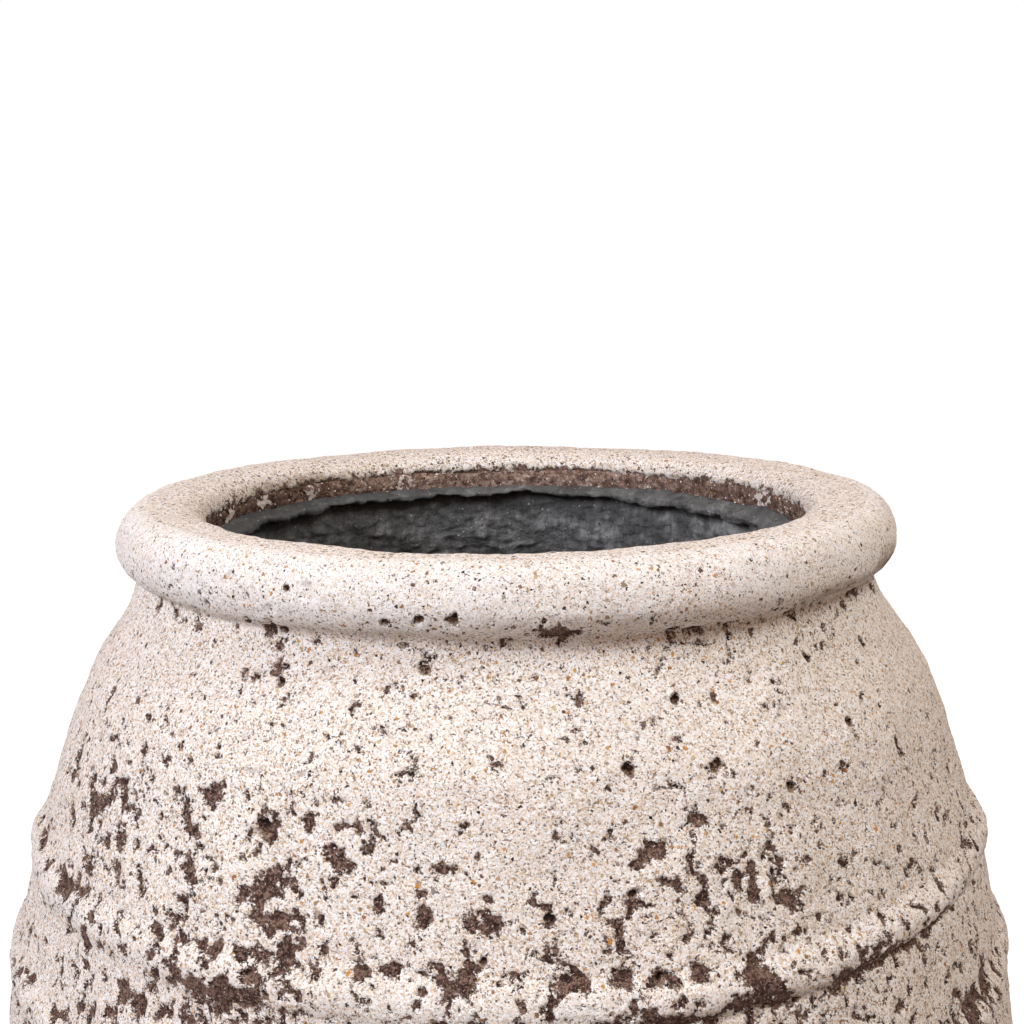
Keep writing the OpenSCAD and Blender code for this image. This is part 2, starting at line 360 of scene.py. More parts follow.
# Where grit has browned the rim: angle in degrees, height, half width, half height and share
GRIT_PATCHES = (
    (48, 611, 34, 8, 1.2), (64, 617, 34, 11, 1.6), (-128, 629, 85, 7, 0.6), (140, 629, 60, 5, 0.2),
)

# How far the first ribs stray from the straight lie of their solids, and how high the first one is:
# angle in degrees, then mm or share
FIRST_RIB_STRAY = (
    (-90, 0), (-60, -2), (-40, 1), (-20, 1), (0, 0), (20, -3), (35, -2.5), (50, 1.5), (70, 0), (120, -2),
    (160, 2), (210, -2), (240, 1),
)
FIRST_RIB_RISE = (
    (-90, 1.1), (-65, 0.9), (-40, 0.8), (-10, 0.85), (20, 0.95), (50, 1.1), (72, 0.9), (90, 0.75), (180, 1),
)
SECOND_RIB_STRAY = ((-90, 1), (-40, -1), (0, 1), (40, 0), (62, 4), (80, 10), (100, 9), (150, 0), (220, 2))

# How crisp the first rib's lower edge is: angle in degrees and share
FIRST_RIB_CRISP = (
    (-100, 0.1), (-35, 0), (-20, 0.35), (0, 0.2), (15, 0.8), (60, 1), (78, 0.4), (130, 0.9), (200, 0.3),
)
RIB_UPPER_W, RIB_LOWER_W = 13, 9

# The belly stands out a little more by hand just under the second rib: how far, at what height and over
# what reach
BELLY_SWELL, BELLY_SWELL_Z, BELLY_SWELL_REACH = 2.2, 345, 32

# Lumps that the hands left in the coat, the finer ones left by the sand, and how much evener the rim is
HAND_LUMPS = ((2.4, 95, 1), (1.5, 38, 2), (0.8, 15, 7))
SAND_LUMPS = ((0.4, 6.5, 8), (0.22, 3.2, 9))
RIM_EVENNESS = 0.45

# How far the coat lies inside its outline before lumps and ribs, and how much fuller it is on the rim
COAT_IN, RIM_FULLER = 0.8, 0.9

# Depth of the worn places, of the groove under the rim and of the coat's edge in the mouth
WORN_DEPTH, GROOVE_DEPTH, MOUTH_EDGE_DEPTH = 1.2, 1.6, 1.2
THINNEST_COAT = 0.8


def by_angle(table, angles, reach=20):
    """Values of a table round the jar, smoothed over some columns to either side."""
    at, values = zip(*table)
    steps = np.interp(np.degrees(angles), at, values, period=360)
    return sum(np.roll(steps, k) for k in range(-reach, reach + 1)) / (2 * reach + 1)


def rib_crest(number, grid, angles):
    """Height of a hand-laid rib's crest round the jar: the lie of its solid, and its straying from it."""
    corners = corners_of(RIBS[number])
    rise = np.hypot(corners[:, 0], corners[:, 1]) - wall_r(corners[:, 2])
    crest = corners[rise > 0.93 * rise.max()]
    lie = np.linalg.lstsq(np.insert(crest[:, :2], 0, 1, axis=1), crest[:, 2], rcond=None)[0]
    straight = lie[0] + lie[1] * grid[..., 0] + lie[2] * grid[..., 1]
    if number < 2:
        return straight + by_angle((FIRST_RIB_STRAY, SECOND_RIB_STRAY)[number], angles)
    dice = np.random.default_rng(40 + number)
    return straight + sum(np.sin(k * angles + dice.uniform(0, 6.28)) for k in (2, 3, 5))


def rib_section(off, height, crisp):
    """Section of a rib: a soft upper side, a crisper lower one, and a crease under a crisp edge."""
    upper = np.clip(1 - (off / RIB_UPPER_W) ** 2, 0, 1) ** 1.6
    reach = RIB_LOWER_W * (1.7 - 0.7 * crisp)
    lower = np.clip(1 - (off / reach) ** 2, 0, 1) ** (2 - 1.2 * crisp)
    crease = 0.9 * crisp * np.exp(-((off + RIB_LOWER_W + 1) / 2.5) ** 2)
    return height * np.where(off > 0, upper, lower) - crease


def rib_relief(grid, angles):
    """Rise of the ribs, how close each point is to their edges, and how close to their crests."""
    rise = np.zeros(grid.shape[:2], np.float32)
    edge, crest = rise.copy(), rise.copy()
    low, high = node_box(RIBS[len(RIBS) // 2])
    proud = high[0] - wall_r((low[2] + high[2]) / 2)
    for number in range(len(RIBS)):
        off = grid[..., 2] - rib_crest(number, grid, angles)
        height = proud * (0.95 + 0.4 * lumps(grid, 70, 60 + number))
        crisp = smoothstep(-0.4, 0.4, lumps(grid, 110, 65 + number))
        if number == 0:
            height *= by_angle(FIRST_RIB_RISE, angles)
            crisp = by_angle(FIRST_RIB_CRISP, angles) + 0 * off
        rise += rib_section(off, height, crisp)
        broken = smoothstep(-0.35, 0.35, lumps(grid, 85, 70 + number))
        edge += 0.6 * broken * np.exp(-((off + RIB_LOWER_W) / 2.6) ** 2)
        edge += 0.35 * (1 - broken) * np.exp(-((off - RIB_UPPER_W + 3) / 3.5) ** 2)
        crest += np.exp(-(off / 6) ** 2)
    return rise, edge, crest


# Size of the crumbs that come off in patches and of the chips between them, and the chips' share of wear
CRUMB, CHIP, CHIP_SHARE = 8, 4.5, 0.14

# How much the wear comes and goes, over what distance, and how bare a named patch is at its middle
WEAR_SWING, WEAR_SWING_SIZE, PATCH_BARE = 1.6, 75, 0.85

# How far past worn through any place may go, so that bits of coat stay on inside the patches
SPONGY = 0.9


def past_level(noise, share):
    """How far noise lies above the level that the given share of it passes."""
    levels = np.quantile(noise, np.linspace(0, 1, 201))
    return (noise - np.interp(1 - np.clip(share, 0, 0.97), np.linspace(0, 1, 201), levels)) / noise.std()


def soft_patch(grid, angles, radius, degrees, height, half_w, half_h):
    """One in the middle of a patch on the jar, fading out all round it."""
    across = angle_gap(angles, degrees) * radius / half_w
    up = (grid[..., 2] - height) / half_h
    return np.exp(-across ** 2 - up ** 2)


def worn_field(grid, angles, inside, rib_edge):
    """Above zero where the coat is worn through, and further below it where the coat is sounder."""
    heights, shares = zip(*WORN_BY_HEIGHT)
    share = np.interp(grid[..., 2], heights, shares).astype(np.float32)
    swing = np.exp(WEAR_SWING * lumps(grid, WEAR_SWING_SIZE, 21))
    share *= by_angle(WORN_BY_ANGLE, angles) * swing * (1 - inside)
    chips = past_level(crumbs(grid, CHIP, 12, layers=2), CHIP_SHARE * share)
    share += rib_edge
    for degrees, height, half_w, half_h, bare in WORN_PATCHES:
        patch = soft_patch(grid, angles, wall_r(height), degrees, height, half_w, half_h)
        share += PATCH_BARE * bare * (1 - inside) * patch
    share += inside * smoothstep(MOUTH_EDGE_Z + 7, MOUTH_EDGE_Z - 3, grid[..., 2])
    patches = past_level(crumbs(grid, CRUMB, 3, layers=3), share)
    return np.minimum(np.maximum(patches, chips), SPONGY)


def with_strays(named, count, radii, seed):
    """Named hollows, and stray ones between two radii strewn over the rest of the coat."""
    dice = np.random.default_rng(seed)
    stray = zip(
        dice.uniform(-180, 180, count),
        dice.uniform(FOOT_Z + 20, BROW_Z, count),
        dice.uniform(*radii, count),
    )
    return [*named, *stray]


def hollow_field(grid, angles, inside, hollows):
    """One in the middle of a hollow, zero at its edge, and how far up or down in it a point lies."""
    depth = np.full(grid.shape[:2], -1, np.float32)
    upward = np.zeros_like(depth)
    radius = np.hypot(grid[..., 0], grid[..., 1])
    wobble = 0.8 * lumps(grid, 4.5, 90)
    for degrees, height, hollow_r in hollows:
        turn = angle_gap(angles, degrees)
        columns = np.flatnonzero(np.abs(turn) < 2 * hollow_r / MOUTH_R)
        rows = np.flatnonzero((np.abs(grid[:, 0, 2] - height) < 2 * hollow_r) & ~inside[:, 0])
        if not len(rows):
            continue
        near = np.ix_(rows, columns)
        up = (grid[..., 2][near] - height) / hollow_r
        reach = np.hypot(turn[columns] * radius[near] / hollow_r, up)
        upward[near] = np.where(1 - reach > depth[near], up, upward[near])
        depth[near] = np.maximum(depth[near], 1 - reach - wobble[near])
    return depth, upward


def coat_outline():
    """The coat's outside before it is worked, from the mouth to the foot, and the rows where strips end."""
    rim = even(rim_outline(0, 0), ROW_FINE)
    fine = even(wall_outline(GROOVE_Z, FINE_TO_Z, 0), ROW_FINE)
    wide = even(wall_outline(FINE_TO_Z, FOOT_Z, 0), ROW_WIDE)
    groove = len(rim) - 1
    turn = groove + len(fine) - 1
    upper_ends = np.linspace(groove, turn, 4)
    lower_ends = np.linspace(turn, turn + len(wide) - 1, 5)[1:]
    ends = [0, rim[:, 1].argmax(), *upper_ends, *lower_ends]
    return np.concatenate([rim[:-1], fine[:-1], wide]), [int(round(end)) for end in ends]


def hand_worked(grid, ribs, on_rim):
    """How far the sound coat stands off its outline: lumps, ribs, the fuller rim and the belly's swell."""
    z = grid[..., 2]
    relief = heaped(grid, HAND_LUMPS) * (1 - RIM_EVENNESS * on_rim) + heaped(grid, SAND_LUMPS)
    relief += ribs - COAT_IN + RIM_FULLER * on_rim
    relief += BELLY_SWELL * np.exp(-((z - BELLY_SWELL_Z) / BELLY_SWELL_REACH) ** 2)
    return relief - GROOVE_DEPTH * np.exp(-((z - GROOVE_Z) / 5) ** 2)


def grit_cover(grid, angles, inside, on_rim):
    """Where the trowel dragged gravel: in the mouth, under the brow, round the groove and in patches."""
    z = grid[..., 2]
    cover = inside * (0.55 + 0.45 * smoothstep(MOUTH_EDGE_Z + 13, MOUTH_EDGE_Z + 5, z))
    cover += 0.5 * on_rim * smoothstep(BROW_Z, BROW_Z - 9, z) + 0.4 * lumps(grid, 55, 33)
    cover += 0.3 * np.exp(-((z - GROOVE_Z + 8) / 14) ** 2)
    for degrees, height, half_w, half_h, share in GRIT_PATCHES:
        cover += share * soft_patch(grid, angles, BROW_R, degrees, height, half_w, half_h)
    return cover


def coat_relief(grid, angles, inside):
    """How far the coat's face stands off its outline, and its worn, pitted and rubbed masks."""
    z = grid[..., 2]
    on_rim = smoothstep(GROOVE_Z - 4, GROOVE_Z + 8, z)
    ribs, rib_edge, on_rib = rib_relief(grid, angles)
    worn = worn_field(grid, angles, inside, rib_edge)
    pits = with_strays(PITS, STRAY_PITS, STRAY_PIT_R, seed=11)
    dents = with_strays(DENTS, STRAY_DENTS, STRAY_DENT_R, seed=12)
    pit, pit_up = hollow_field(grid, angles, inside, pits)
    dent, _ = hollow_field(grid, angles, inside, dents)
    relief = hand_worked(grid, ribs, on_rim)
    relief -= WORN_DEPTH * smoothstep(-0.1, 0.2, worn)
    relief -= PIT_DEPTH * smoothstep(0, 0.4, pit) + DENT_DEPTH * smoothstep(0, 0.6, dent)
    relief -= MOUTH_EDGE_DEPTH * inside * smoothstep(MOUTH_EDGE_Z + 3, MOUTH_EDGE_Z, z)
    rubbed = np.clip(0.75 * on_rim + 0.5 * on_rib, 0, 1) * (1 - inside) + 0.4 * lumps(grid, 45, 31)
    masks = {
        "worn": worn,
        "pit": pit,
        "pit_up": pit_up,
        "rubbed": rubbed,
        "gritty": grit_cover(grid, angles, inside, on_rim),
        "mouth": 1.0 * inside,
    }
    return np.maximum(relief, THINNEST_COAT - COAT_T), masks


# Strips of the coat from the mouth down, and the rows that do for the backs of the rim's and the wall's
STRIPS = (
    "mouth", "brow", "collar", "upper_shoulder", "lower_shoulder", "upper_belly", "lower_belly", "flank",
    "foot",
)
RIM_BACK_ROWS, WALL_BACK_ROWS = 10, 6


def coat_nodes(heights):
    """Nodes of the frame that a strip of the coat stands for, from the heights that it covers."""
    nodes = []
    for node in ("rim_coat", "upper_coat", "lower_coat", *RIBS):
        low, high = node_box(node)
        if heights.max() > low[2] + 1 and heights.min() < high[2] - 1:
            nodes.append(node)
    return nodes


def coat_skins(material):
    """The whole coat as one worked face, cut into closed strips that meet edge to edge."""
    outline, ends = coat_outline()
    angles = round_angles(AROUND)
    normal = spun(outline_normals(outline), angles)
    grid = spun(outline, angles)
    inside = np.repeat(np.arange(len(outline))[:, None] < outline[:, 1].argmax(), AROUND, axis=1)
    relief, masks = coat_relief(grid, angles, inside)
    face = out_of_true(grid + relief[..., None] * normal)
    back = out_of_true(grid - (COAT_T - 0.4) * normal)
    shading = grid_normals(face)
    for name, first, last in zip(STRIPS, ends, ends[1:]):
        rows = slice(first, last + 1)
        back_rows = RIM_BACK_ROWS if last <= ends[2] else WALL_BACK_ROWS
        behind = back[np.linspace(last, first, back_rows).round().astype(int)]
        unset = np.zeros_like(behind)
        skin = ring_piece(
            name + "_coat_skin",
            np.concatenate([face[rows], behind]),
            np.concatenate([shading[rows], unset]),
            **{mask: np.concatenate([values[rows], unset[..., 0]]) for mask, values in masks.items()},
        )
        settle(skin, "jar", "stone_coat", material, *coat_nodes(outline[rows, 1]))


# The clay, the lining and the bung

# Smears of lime left on the clay band inside the mouth: angle in degrees and half width, then half height
LIME_SMEARS = ((-131, 9), (-156, 7), (-116, 10), (113, 12), (-103, 6))
SMEAR_HALF_H = 8

# Painted shade and light on the clay band round the jar, darker on the left inside and paler at the rear:
# angle in degrees and shift
BAND_PAINTED_SHADE = (
    (-180, 0.045), (-150, 0.02), (-120, -0.07), (-95, -0.09), (-60, 0), (60, 0), (95, -0.04), (130, -0.02),
    (160, 0.035),
)

# Spacing of the clay neck's rows on the bare band, and on the covered roll, collar and throat
BAND_STEP, ROLL_STEP, COLLAR_STEP, THROAT_STEP = 0.9, 7, 12, 6
BAND_LUMPS = ((0.7, 9, 51), (0.7, 4, 52), (0.6, 2.2, 53))


def neck_section():
    """Section of the clay neck: the bare band in the mouth, and the rest, under coat and paint."""
    flush = MOUTH_R + 1.2
    band = np.array([
        [LIP_R, LIP_Z],
        [LIP_R - 0.5, LIP_Z + 4],
        [flush, MOUTH_EDGE_Z - 4],
        [flush, MOUTH_EDGE_Z + 0.5],
        [LIP_R + 0.5, MOUTH_EDGE_Z + 2.5],
    ])
    roll = rim_outline(COAT_T + 1.5, MOUTH_COAT_T + 3)[20:]
    collar = wall_outline(GROOVE_Z - 3, SHOULDER_Z, COAT_T + 1)
    throat = even(hollow_outline(-2)[::-1], THROAT_STEP)
    throat = throat[throat[:, 1] > SHOULDER_Z + 2]
    covered = np.concatenate([even(roll, ROLL_STEP), even(collar, COLLAR_STEP), throat])
    return even(band, BAND_STEP), covered


def lime_smears(grid, angles):
    """Above zero where the trowel smeared lime over the clay band."""
    smear = np.full(grid.shape[:2], -1, np.float32)
    middle = (LINING_TOP_Z + MOUTH_EDGE_Z) / 2
    for degrees, half_w in LIME_SMEARS:
        across = angle_gap(angles, degrees) * LIP_R / half_w
        up = (grid[..., 2] - middle) / SMEAR_HALF_H
        smear = np.maximum(smear, 0.35 - 0.8 * across ** 2 - up ** 2)
    return smear + 1.5 * crumbs(grid, 6, 55, keep=0.75)


def clay_neck(material):
    """Collar and rim of coarse clay, with the bare band that shows inside the mouth."""
    angles = round_angles(AROUND)
    band, covered = neck_section()
    grid = spun(np.concatenate([band, covered]), angles)
    inward = -np.stack([np.sin(angles), -np.cos(angles), 0 * angles], axis=-1)
    bare = grid[:len(band)]
    bare += heaped(bare, BAND_LUMPS)[..., None] * inward
    # Painted shade and light on the band, darker on the left inside and paler at the rear
    fired = np.tile(by_angle(BAND_PAINTED_SHADE, angles), (len(grid), 1))
    piece = ring_piece("clay_neck", out_of_true(grid), smear=lime_smears(grid, angles), fired=fired)
    settle(piece, "jar", "clay", material, "rim_roll", "neck_collar")


# Heavy bead of paint at the lip: angle in degrees and height in mm, then how far it stands out
LIP_BEAD = ((-180, 5), (-150, 6), (-120, 8), (-95, 9), (0, 9), (95, 14), (125, 11), (150, 8))
LIP_BEAD_OUT = 8.5
BEAD_H_WAVER, BEAD_OUT_WAVER = ((3, 28, 88), (1.5, 9, 89)), ((3, 40, 85),)
BEAD_LUMPS = ((2.6, 6, 80), (2, 3, 79))
TOP_EDGE_WAVER = ((2, 45, 86), (1.4, 9, 87))

# Columns round the lining, and spacing of its rows near the lip, deeper down and at the back
PAINT_AROUND = 540
LIP_STEP, DEEP_STEP, BACK_STEP = 1, 9, 20
LIP_STEP_TO_Z = LIP_Z - 75
PAINT_LUMPS = ((1.5, 30, 81), (1.5, 12, 82), (1.2, 5, 83))
PAINT_THIN, PAINT_THICK = -2.2, 12

# Painted shade and light on the paint round the jar, darker on the left inside where the rim shades it
# and lighter on the right: angle in degrees and shift; and painted shade on the bead, which catches the
# light from above
PAINT_SHADE_ROUND = (
    (-180, -0.02), (-150, -0.08), (-120, -0.13), (-90, -0.13), (-40, 0), (40, 0), (90, 0.08), (130, 0.06),
    (160, 0),
)
BEAD_SHADE = -0.12

# Cove that the paint makes where the wall meets the floor: how far out and how high
COVE_OUT, COVE_H = 7, 12


def lining_section():
    """Section of the lining from its back, on the clay, round to its face, and the rows at the back."""
    inner = hollow_outline(LINING_T)
    top = np.array([[LIP_R - 0.3, LINING_TOP_Z], [LIP_R - LINING_T + 0.6, LINING_TOP_Z - 0.3], inner[0]])
    near_lip = inner[:, 1] > LIP_STEP_TO_Z
    fine = even(np.concatenate([top, inner[near_lip]]), LIP_STEP)
    deep = even(inner[~near_lip], DEEP_STEP)
    back = even(hollow_outline(0), BACK_STEP)
    return np.concatenate([back, deep[::-1], fine[::-1]]), len(back)


def lip_bead(grid, hoop, angles):
    """How far the bead of paint at the lip stands into the jar, less the hollow that it leaves under it."""
    bead_h = by_angle(LIP_BEAD, angles) + heaped(hoop, BEAD_H_WAVER)
    down = (LINING_TOP_Z - grid[..., 2]) / bead_h
    bead = smoothstep(0, 0.7, down) * smoothstep(1.12, 1, down)
    out = LIP_BEAD_OUT + heaped(hoop, BEAD_OUT_WAVER) + heaped(grid, BEAD_LUMPS)
    return bead * out - 1.8 * np.exp(-((down - 1.5) / 0.4) ** 2)


def lining_wall(material):
    """Thick paint brushed over the inside, gathered at the lip in a rough bead that overhangs the wall."""
    angles = round_angles(PAINT_AROUND)
    rows, back_rows = lining_section()
    grid = spun(rows, angles)
    hoop = spun(np.array([[LIP_R, 0]]), angles)
    relief = heaped(grid, PAINT_LUMPS) + 3.8 * np.clip(lumps(grid, 7, 84) - 0.15, 0, 1)
    relief = np.clip(relief + lip_bead(grid, hoop, angles), PAINT_THIN, PAINT_THICK)
    relief *= smoothstep(LINING_TOP_Z, LINING_TOP_Z - 2, grid[..., 2])
    relief += COVE_OUT * np.clip(1 - (grid[..., 2] - FLOOR_Z) / COVE_H, 0, 1) ** 2
    relief[:back_rows] = 0
    grid += relief[..., None] * spun(outline_normals(rows), angles)
    grid[..., 2] += heaped(hoop, TOP_EDGE_WAVER) * smoothstep(LIP_Z - 6, LINING_TOP_Z, grid[..., 2])
    # Painted shade and light: darker on the left inside and on the bead, lighter on the right
    dusty = by_angle(PAINT_SHADE_ROUND, angles) + BEAD_SHADE * smoothstep(LIP_Z - 15, LIP_Z - 5, grid[..., 2])
    piece = ring_piece("lining_wall", out_of_true(grid), dusty=dusty)
    settle(piece, "jar", "lining", material, "wall_lining")


FLOOR_LUMPS = ((0.9, 40, 91), (0.6, 14, 92), (0.35, 6, 93))


def lining_floor(material):
    """The same paint pooled on the floor, dished a little towards the drain hole."""
    angles = round_angles(360)
    wall = node_box("floor_lining")[1][0]
    top = even(np.array([[wall, FLOOR_Z], [DRAIN_R + 0.6, FLOOR_Z], [DRAIN_R, FLOOR_Z - 0.6]]), 2.4)
    under = np.array([[DRAIN_R, SLAB_TOP_Z], [wall / 2, SLAB_TOP_Z], [wall, SLAB_TOP_Z]])
    grid = spun(np.concatenate([top, under])[::-1], angles)
    away = smoothstep(32, 60, np.hypot(grid[..., 0], grid[..., 1])) * (grid[..., 2] > FLOOR_Z - 0.1)
    grid[..., 2] += away * heaped(grid, FLOOR_LUMPS)
    settle(ring_piece("lining_floor", grid), "jar", "lining", material, "floor_lining")


# Foot ring: drain notches on the four axes, their size, and the rounding of its worn edges
NOTCHES = 4
NOTCH_HALF_W, NOTCH_H = 14, 8
FOOT_EDGE_R = 3
FOOT_LUMPS = ((0.7, 14, 61), (0.5, 5, 62))


def arc(r, z, radius, start, stop, count=7):
    """Points on a round edge about a centre, between two angles in degrees."""
    a = np.radians(np.linspace(start, stop, count))
    return np.stack([r + radius * np.cos(a), z + radius * np.sin(a)], axis=1)


def cut_notches(grid, angles, spread, rough, top):
    """Lifts the ring's underside where the drain notches cross it, with edges as rough as its face."""
    for number in range(NOTCHES):
        turn = angle_gap(angles, 360 * number / NOTCHES)
        aside = np.abs(spread * np.sin(turn)) + 4 * (np.cos(turn) < 0) * NOTCH_HALF_W
        lift = NOTCH_H * smoothstep(NOTCH_HALF_W + 1.5, NOTCH_HALF_W - 1.5, aside + rough)
        grid[..., 2] += lift * (1 - np.clip(grid[..., 2] / top, 0, 1))


def foot(material):
    """Coarse clay ring with rubbed edges, cut across by the drain notches."""
    angles = round_angles(900)
    r, z = turned_points("foot_ring")
    inner, outer, top = r.min(), r.max(), z.max()
    section = np.concatenate([
        arc(inner + FOOT_EDGE_R, FOOT_EDGE_R, FOOT_EDGE_R, 180, 270),
        arc(outer - FOOT_EDGE_R, FOOT_EDGE_R, FOOT_EDGE_R, 270, 360),
        [[outer, top], [inner, top], [inner, FOOT_EDGE_R]],
    ])
    grid = spun(even(section, 1.6)[:-1][::-1], angles)
    rough = heaped(grid, FOOT_LUMPS)
    low = smoothstep(top - 1, top - 5, grid[..., 2])
    spread = np.hypot(grid[..., 0], grid[..., 1])
    outward = np.sign(spread - (inner + outer) / 2)
    swell = np.minimum(rough - 0.4, 0.3) * low * outward
    grid[..., :2] *= (1 + swell / spread)[..., None]
    cut_notches(grid, angles, spread, rough, top)
    settle(ring_piece("foot", grid), "jar", "clay", material, "foot_ring")


def bung_outline(low, high):
    """Section of the bung from the middle of its underside to the middle of its knob."""
    head_r = high[0]
    seat = FLOOR_Z + 0.3
    head_top, knob_r, waist_r = seat + 7, 12, 7
    knob_low = high[2] - 8
    return np.concatenate([
        [[0.4, low[2]], [9, low[2]]],
        arc(DRAIN_R - 3.8, low[2] + 1.5, 1.5, 270, 360),
        [[DRAIN_R - 1.2, seat - 9], [DRAIN_R - 0.5, seat - 8]],
        [[DRAIN_R - 0.5, seat - 6], [DRAIN_R - 1, seat - 5]],
        [[DRAIN_R - 0.7, seat], [DRAIN_R + 2, seat], [head_r - 1, seat]],
        arc(head_r - 1, seat + 1, 1, 270, 360),
        arc(head_r - 2, head_top - 2, 2, 0, 90),
        [[head_r - 5, head_top]],
        arc(head_r - 7, head_top - 0.8, 1.1, 40, 140),
        [[head_r - 9, head_top - 0.6], [waist_r + 3, head_top - 0.6]],
        arc(waist_r + 2.4, head_top + 1.8, 2.4, 270, 180),
        [[waist_r, knob_low - 1]],
        arc(knob_r - 2, knob_low + 2, 2, 270, 360),
        arc(knob_r - 2, high[2] - 2, 2, 0, 90),
        [[knob_r - 4, high[2]], [knob_r - 5, high[2] - 0.7], [0.4, high[2] - 0.7]],
    ])


# Flutes round the bung's knob, and their depth as a share of its radius
FLUTES, FLUTE_DEPTH = 9, 0.07


def bung(material):
    """Moulded rubber bung with a seal ring, a raised bead on its head and a fluted knob."""
    angles = round_angles(192)
    low, high = node_box("drain_plug")
    outline = even(bung_outline(low, high), 0.5)
    grid = spun(outline, angles)
    down = high[2] - grid[..., 2]
    knob = smoothstep(7.5, 5, down) * smoothstep(0.4, 3, down)
    flutes = FLUTE_DEPTH * knob * np.maximum(0, np.cos(FLUTES * angles)) ** 2
    grid[..., :2] *= (1 - flutes)[..., None]
    rows, columns = grid.shape[:2]
    quads = ring_faces(rows, columns)[:(rows - 1) * columns]
    points = grid.reshape(-1, 3)
    piece = mesh_object("rubber_bung", points, quads[:, ::-1])
    for first in (0, (rows - 1) * columns):
        cap_pole(piece, range(first, first + columns), upward=first > 0)
    settle(piece, "bung", "rubber", material, "drain_plug")


def cap_pole(piece, ring, upward):
    """Closes the small hole left round the axis with one face."""
    work = bmesh.new()
    work.from_mesh(piece.data)
    work.verts.ensure_lookup_table()
    corners = [work.verts[i] for i in ring]
    work.faces.new(corners if upward else corners[::-1])
    work.to_mesh(piece.data)
    work.free()


# Materials

def linear(code):
    """An sRGB hex colour as linear red, green, blue and alpha."""
    channels = [int(code[i:i + 2], 16) / 255 for i in (1, 3, 5)]
    return (*[c / 12.92 if c <= 0.04045 else ((c + 0.055) / 1.055) ** 2.4 for c in channels], 1)


def per(size):
    """Pattern scale at which one feature is the given size in mm."""
    return 1 / (size * MM)


# What nodes do here unless told otherwise: Math takes input 0 times input 1 plus input 2, Mix mixes colours
USUAL = {"Math": {"operation": "MULTIPLY_ADD"}, "Mix": {"data_type": "RGBA"}}


def add(tree, kind, inputs=None, stops=(), **settings):
    """Adds a node with its settings, its colour stops, and its inputs linked or set."""
    made = tree.nodes.new("ShaderNode" + kind)
    for name, value in {**USUAL.get(kind, {}), **settings}.items():
        setattr(made, name, value)
    for name, value in (inputs or {}).items():
        if isinstance(value, bpy.types.Node):
            value = next(socket for socket in value.outputs if socket.enabled)
        if isinstance(value, bpy.types.NodeSocket):
            tree.links.new(value, made.inputs[name])
        else:
            made.inputs[name].default_value = value
    for number, (at, code) in enumerate(stops):
        ramp = made.color_ramp.elements
        stop = ramp[number] if number < 2 else ramp.new(at)
        stop.position, stop.color = at, linear(code)
    return made


# Sockets of a colour mix, and of a range of values that is turned into another
MIX_UNDER, MIX_OVER = 6, 7
FROM_LOW, FROM_HIGH, TO_LOW, TO_HIGH = 1, 2, 3, 4


def new_material(name, *masks):
    """An empty material, its node tree, the place on the object, and masks kept at the object's points."""
    material = bpy.data.materials.new(name)
    material.use_nodes = True
    tree = material.node_tree
    tree.nodes.clear()
    kept = [add(tree, "Attribute", attribute_name=mask).outputs["Fac"] for mask in masks]
    return material, tree, add(tree, "TexCoord").outputs["Object"], *kept


def finished(material, inputs):
    """The material with a plain shader for its surface."""
    shader = add(material.node_tree, "BsdfPrincipled", inputs)
    add(material.node_tree, "OutputMaterial", {"Surface": shader})
    return material


def scatter(tree, place, ground, cell, share, smallest, biggest, codes):
    """Strews grains over a ground colour: at most one to a cell of the given size in mm, in a share of the
    cells. Their radii are shares of the cell. Gives the new ground and the grains' mask."""
    cells = add(tree, "TexVoronoi", {"Vector": place, "Scale": per(cell)})
    dice = add(tree, "SeparateColor", {"Color": cells.outputs["Color"]})
    radius = add(tree, "Math", {0: dice.outputs["Red"], 1: biggest - smallest, 2: smallest})
    within = add(tree, "Math", {0: cells.outputs["Distance"], 1: radius}, operation="LESS_THAN")
    kept = add(tree, "Math", {0: dice.outputs["Green"], 1: share}, operation="LESS_THAN")
    mask = add(tree, "Math", {0: within, 1: kept}, operation="MULTIPLY")
    stops = [(number / len(codes), code) for number, code in enumerate(codes)]
    tint = add(tree, "ValToRGB", {"Fac": dice.outputs["Blue"]}, stops)
    tint.color_ramp.interpolation = "CONSTANT"
    laid = add(tree, "Mix", {"Factor": mask, MIX_UNDER: ground, MIX_OVER: tint})
    return laid, mask


def chalk_and_sand(tree, place, shaken, rubbed):
    """The coat's chalky ground, warmer and cooler by turns, whiter where rubbed and crowded with fine sand.
    Gives the ground and how far each place lies from the middle of its grain."""
    clouds = add(tree, "TexNoise", {"Vector": place, "Scale": per(55), "Detail": 3})
    chalk = add(tree, "ValToRGB", {"Fac": clouds}, ((0.34, "#f3e3d2"), (0.66, "#f5eae1")))
    chalk = add(tree, "Mix", {"Factor": rubbed, MIX_UNDER: chalk, MIX_OVER: linear("#fcf8f4")})
    sand = add(tree, "TexVoronoi", {"Vector": shaken, "Scale": per(0.8)})
    dice = add(tree, "SeparateColor", {"Color": sand.outputs["Color"]})
    tint = add(tree, "ValToRGB", {"Fac": dice.outputs["Red"]}, (
        (0, "#fffdfa"), (0.42, "#f6e9da"), (0.62, "#ebd7bd"), (0.75, "#d3b590"), (0.85, "#ddd0c7"),
        (0.91, "#a98667"), (0.96, "#6a5042")))
    tint.color_ramp.interpolation = "CONSTANT"
    crowded = add(tree, "MapRange", {"Value": rubbed, TO_LOW: 0.85, TO_HIGH: 0.42})
    laid = add(tree, "Mix", {"Factor": crowded, MIX_UNDER: chalk, MIX_OVER: tint})
    return laid, sand.outputs["Distance"]


